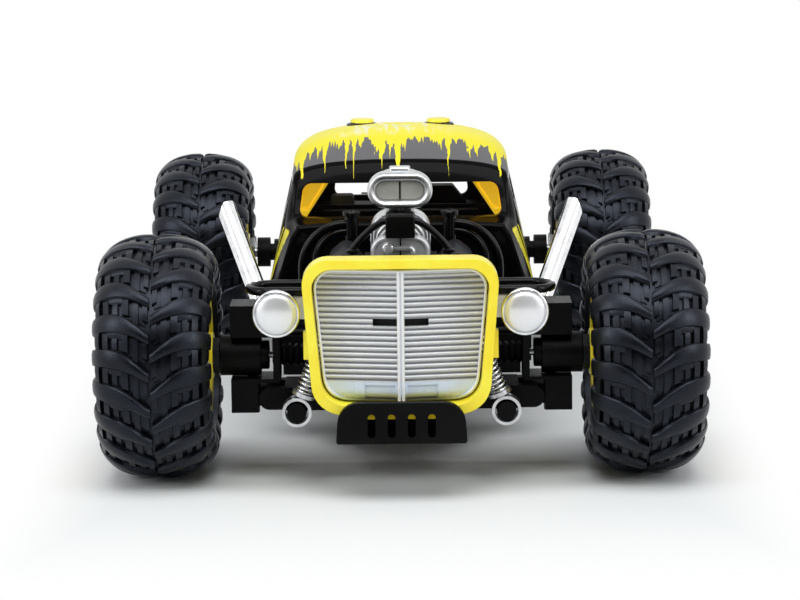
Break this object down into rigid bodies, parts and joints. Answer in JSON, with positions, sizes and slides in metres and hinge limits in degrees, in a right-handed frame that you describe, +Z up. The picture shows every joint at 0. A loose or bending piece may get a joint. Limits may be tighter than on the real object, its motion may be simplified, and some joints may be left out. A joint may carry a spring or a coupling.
{
  "type": "radio controlled buggy",
  "caption": "Radio controlled hot rod buggy: knobbly tyres, sprung front arms, swinging rear axle, steering, open engine with intake scoop, grille nose and short cab.",
  "frame": {"origin": "on the ground under the middle of the car", "axes": "+Z up, +Y towards the tail, +X to the left of the car"},
  "size_m": [0.236, 0.36, 0.1197],
  "materials": {
    "black_plastic": "moulded matte",
    "black_tube": "gloss black paint",
    "body_black": "painted shell",
    "yellow_plastic": "moulded gloss",
    "silver_plate": "satin silver",
    "engine_grey": "satin dark grey",
    "chrome": "polished",
    "shock_black": "satin black",
    "steel": "turned",
    "brass": "cut",
    "tyre": "satin rubber",
    "battery_wrap": "shrink wrap",
    "board_green": "lacquered board"
  },
  "bodies": {
    "chassis": {"chassis_tub": "black_plastic", "front_gearbox": "black_plastic", "skid_bumper": "black_plastic", "grille_surround": "yellow_plastic", "grille": "silver_plate", "headlight_bracket": "silver_plate", "headlights": "silver_plate", "engine_block": "engine_grey", "blower": "silver_plate", "blower_drive": "black_plastic", "intake_scoop": "silver_plate", "tube_frame": "black_tube", "exhaust_stacks": "chrome", "cab_shell": "body_black", "interior_tray": "black_plastic", "battery_pack": "battery_wrap", "control_board": "board_green", "steering_servo": "black_plastic", "motor": "steel", "rear_frame": "black_plastic", "screws": "steel"},
    "servo_horn": {"servo_horn": "black_plastic"},
    "steering_rack": {"steering_rack": "black_plastic"},
    "drive_shaft": {"drive_shaft": "steel"},
    "motor_pinion": {"motor_pinion": "brass"},
    "front_spool": {"front_spool": "steel"},
    "rear_swing_axle": {"rear_swing_axle": "black_plastic"},
    "rear_wheels": {"rear_axle_shaft": "steel", "rear_rim_left": "yellow_plastic", "rear_rim_right": "yellow_plastic", "rear_tyre_left": "tyre", "rear_tyre_right": "tyre"},
    "rear_prop_shaft": {"rear_prop_shaft": "steel"},
    "rear_shock_bodies": {"rear_shock_bodies": "shock_black", "rear_springs": "chrome"},
    "rear_shock_rods": {"rear_shock_rods": "chrome"},
    "lower_arm_left": {"front_lower_arm_left": "black_plastic"},
    "upper_arm_left": {"front_upper_arm_left": "black_plastic"},
    "hub_carrier_left": {"hub_carrier_left": "black_plastic"},
    "steering_knuckle_left": {"steering_knuckle_left": "black_plastic"},
    "front_wheel_left": {"stub_axle_left": "steel", "front_rim_left": "yellow_plastic", "front_tyre_left": "tyre"},
    "half_shaft_left": {"half_shaft_left": "steel"},
    "tie_rod_left": {"tie_rod_left": "black_plastic"},
    "shock_body_left": {"front_shock_body_left": "shock_black", "front_spring_left": "chrome"},
    "shock_rod_left": {"front_shock_rod_left": "chrome"},
    "lower_arm_right": {"front_lower_arm_right": "black_plastic"},
    "upper_arm_right": {"front_upper_arm_right": "black_plastic"},
    "hub_carrier_right": {"hub_carrier_right": "black_plastic"},
    "steering_knuckle_right": {"steering_knuckle_right": "black_plastic"},
    "front_wheel_right": {"stub_axle_right": "steel", "front_rim_right": "yellow_plastic", "front_tyre_right": "tyre"},
    "half_shaft_right": {"half_shaft_right": "steel"},
    "tie_rod_right": {"tie_rod_right": "black_plastic"},
    "shock_body_right": {"front_shock_body_right": "shock_black", "front_spring_right": "chrome"},
    "shock_rod_right": {"front_shock_rod_right": "chrome"}
  },
  "joints": [
    {"name": "rear_axle_swing", "type": "hinge", "parent": "chassis", "child": "rear_swing_axle", "pos_m": [0, 0.042, 0.0475], "axis": [1, 0, 0], "range_deg": [-6, 5], "stiffness_Nm_per_rad": 8, "springref_deg": -1.36},
    {"name": "wheel_spin", "type": "hinge", "parent": "rear_swing_axle", "child": "rear_wheels", "pos_m": [0, 0.128, 0.0475], "axis": [1, 0, 0], "continuous": true},
    {"name": "rear_prop_spin", "type": "hinge", "parent": "rear_swing_axle", "child": "rear_prop_shaft", "pos_m": [0, 0.09, 0.0475], "axis": [0, 1, 0], "continuous": true},
    {"name": "drive_shaft_spin", "type": "hinge", "parent": "chassis", "child": "drive_shaft", "pos_m": [0, -0.04, 0.0475], "axis": [0, 1, 0], "continuous": true},
    {"name": "motor_spin", "type": "hinge", "parent": "chassis", "child": "motor_pinion", "pos_m": [0.01826, 0.011, 0.04157], "axis": [0, 1, 0], "continuous": true},
    {"name": "front_spool_spin", "type": "hinge", "parent": "chassis", "child": "front_spool", "pos_m": [0, -0.128, 0.0475], "axis": [1, 0, 0], "continuous": true},
    {"name": "suspension_left", "type": "hinge", "parent": "chassis", "child": "lower_arm_left", "pos_m": [0.015, -0.128, 0.032], "axis": [0, -1, 0], "range_deg": [-12, 9], "stiffness_Nm_per_rad": 1.5, "springref_deg": -4.84},
    {"name": "upper_arm_swing_left", "type": "hinge", "parent": "chassis", "child": "upper_arm_left", "pos_m": [0.015, -0.128, 0.063], "axis": [0, -1, 0], "range_deg": [-12, 9]},
    {"name": "hub_carrier_level_left", "type": "hinge", "parent": "lower_arm_left", "child": "hub_carrier_left", "pos_m": [0.051, -0.128, 0.032], "axis": [0, -1, 0], "range_deg": [-9, 12]},
    {"name": "steer", "type": "hinge", "parent": "hub_carrier_left", "child": "steering_knuckle_left", "pos_m": [0.058, -0.128, 0.0475], "axis": [0, 0, 1], "range_deg": [-20, 20]},
    {"name": "front_wheel_spin_left", "type": "hinge", "parent": "steering_knuckle_left", "child": "front_wheel_left", "pos_m": [0.095, -0.128, 0.0475], "axis": [1, 0, 0], "continuous": true},
    {"name": "half_shaft_swing_left", "type": "hinge", "parent": "chassis", "child": "half_shaft_left", "pos_m": [0.022, -0.128, 0.0475], "axis": [0, -1, 0], "range_deg": [-12, 9]},
    {"name": "tie_rod_swing_left", "type": "hinge", "parent": "steering_rack", "child": "tie_rod_left", "pos_m": [0.022, -0.11, 0.0527], "axis": [0, -1, 0], "range_deg": [-12, 9]},
    {"name": "shock_swing_left", "type": "hinge", "parent": "chassis", "child": "shock_body_left", "pos_m": [0.02, -0.15, 0.08], "axis": [0, -1, 0], "range_deg": [-2.68, 2.04]},
    {"name": "shock_stroke_left", "type": "slide", "parent": "shock_body_left", "child": "shock_rod_left", "axis": [-0.3695, 0, 0.9292], "range_m": [-0.0048, 0.0037], "deforming": ["front_spring_left"]},
    {"name": "suspension_right", "type": "hinge", "parent": "chassis", "child": "lower_arm_right", "pos_m": [-0.015, -0.128, 0.032], "axis": [0, 1, 0], "range_deg": [-12, 9], "stiffness_Nm_per_rad": 1.5, "springref_deg": -4.84},
    {"name": "upper_arm_swing_right", "type": "hinge", "parent": "chassis", "child": "upper_arm_right", "pos_m": [-0.015, -0.128, 0.063], "axis": [0, 1, 0], "range_deg": [-12, 9]},
    {"name": "hub_carrier_level_right", "type": "hinge", "parent": "lower_arm_right", "child": "hub_carrier_right", "pos_m": [-0.051, -0.128, 0.032], "axis": [0, 1, 0], "range_deg": [-9, 12]},
    {"name": "steer_right", "type": "hinge", "parent": "hub_carrier_right", "child": "steering_knuckle_right", "pos_m": [-0.058, -0.128, 0.0475], "axis": [0, 0, 1], "range_deg": [-20, 20]},
    {"name": "front_wheel_spin_right", "type": "hinge", "parent": "steering_knuckle_right", "child": "front_wheel_right", "pos_m": [-0.095, -0.128, 0.0475], "axis": [1, 0, 0], "continuous": true},
    {"name": "half_shaft_swing_right", "type": "hinge", "parent": "chassis", "child": "half_shaft_right", "pos_m": [-0.022, -0.128, 0.0475], "axis": [0, 1, 0], "range_deg": [-12, 9]},
    {"name": "tie_rod_swing_right", "type": "hinge", "parent": "steering_rack", "child": "tie_rod_right", "pos_m": [-0.022, -0.11, 0.0527], "axis": [0, 1, 0], "range_deg": [-12, 9]},
    {"name": "shock_swing_right", "type": "hinge", "parent": "chassis", "child": "shock_body_right", "pos_m": [-0.02, -0.15, 0.08], "axis": [0, 1, 0], "range_deg": [-2.68, 2.04]},
    {"name": "shock_stroke_right", "type": "slide", "parent": "shock_body_right", "child": "shock_rod_right", "axis": [0.3695, 0, 0.9292], "range_m": [-0.0048, 0.0037], "deforming": ["front_spring_right"]},
    {"name": "rear_shock_swing", "type": "hinge", "parent": "chassis", "child": "rear_shock_bodies", "pos_m": [0, 0.098, 0.0745], "axis": [1, 0, 0], "range_deg": [-10.24, 8.57]},
    {"name": "rear_shock_stroke", "type": "slide", "parent": "rear_shock_bodies", "child": "rear_shock_rods", "axis": [0, -0.9015, 0.4327], "range_m": [-0.0056, 0.0047], "deforming": ["rear_springs"]},
    {"name": "rack_slide", "type": "slide", "parent": "chassis", "child": "steering_rack", "axis": [1, 0, 0], "range_m": [-0.0063, 0.0063]},
    {"name": "servo_horn_turn", "type": "hinge", "parent": "chassis", "child": "servo_horn", "pos_m": [0.012, -0.094, 0.0565], "axis": [0, 0, 1], "range_deg": [-23, 23]}
  ],
  "couplings": [
    {"joint": "rear_prop_spin", "follows": "wheel_spin", "ratio": 3},
    {"joint": "drive_shaft_spin", "follows": "wheel_spin", "ratio": 3},
    {"joint": "motor_spin", "follows": "wheel_spin", "ratio": -9},
    {"joint": "front_spool_spin", "follows": "wheel_spin", "ratio": 1},
    {"joint": "upper_arm_swing_left", "follows": "suspension_left", "ratio": 1},
    {"joint": "hub_carrier_level_left", "follows": "suspension_left", "ratio": -1},
    {"joint": "front_wheel_spin_left", "follows": "wheel_spin", "ratio": 1},
    {"joint": "half_shaft_swing_left", "follows": "suspension_left", "ratio": 1},
    {"joint": "tie_rod_swing_left", "follows": "suspension_left", "ratio": 1},
    {"joint": "shock_swing_left", "follows": "suspension_left", "ratio": 0.21497},
    {"joint": "shock_stroke_left", "follows": "suspension_left", "m_per_rad": 0.022005},
    {"joint": "upper_arm_swing_right", "follows": "suspension_right", "ratio": 1},
    {"joint": "hub_carrier_level_right", "follows": "suspension_right", "ratio": -1},
    {"joint": "steer_right", "follows": "steer", "ratio": 1},
    {"joint": "front_wheel_spin_right", "follows": "wheel_spin", "ratio": 1},
    {"joint": "half_shaft_swing_right", "follows": "suspension_right", "ratio": 1},
    {"joint": "tie_rod_swing_right", "follows": "suspension_right", "ratio": 1},
    {"joint": "shock_swing_right", "follows": "suspension_right", "ratio": 0.21497},
    {"joint": "shock_stroke_right", "follows": "suspension_right", "m_per_rad": 0.022005},
    {"joint": "rear_shock_swing", "follows": "rear_axle_swing", "ratio": 1.674},
    {"joint": "rear_shock_stroke", "follows": "rear_axle_swing", "m_per_rad": 0.048435},
    {"joint": "rack_slide", "follows": "steer", "m_per_rad": -0.01764},
    {"joint": "servo_horn_turn", "follows": "steer", "ratio": -1.131}
  ]
}
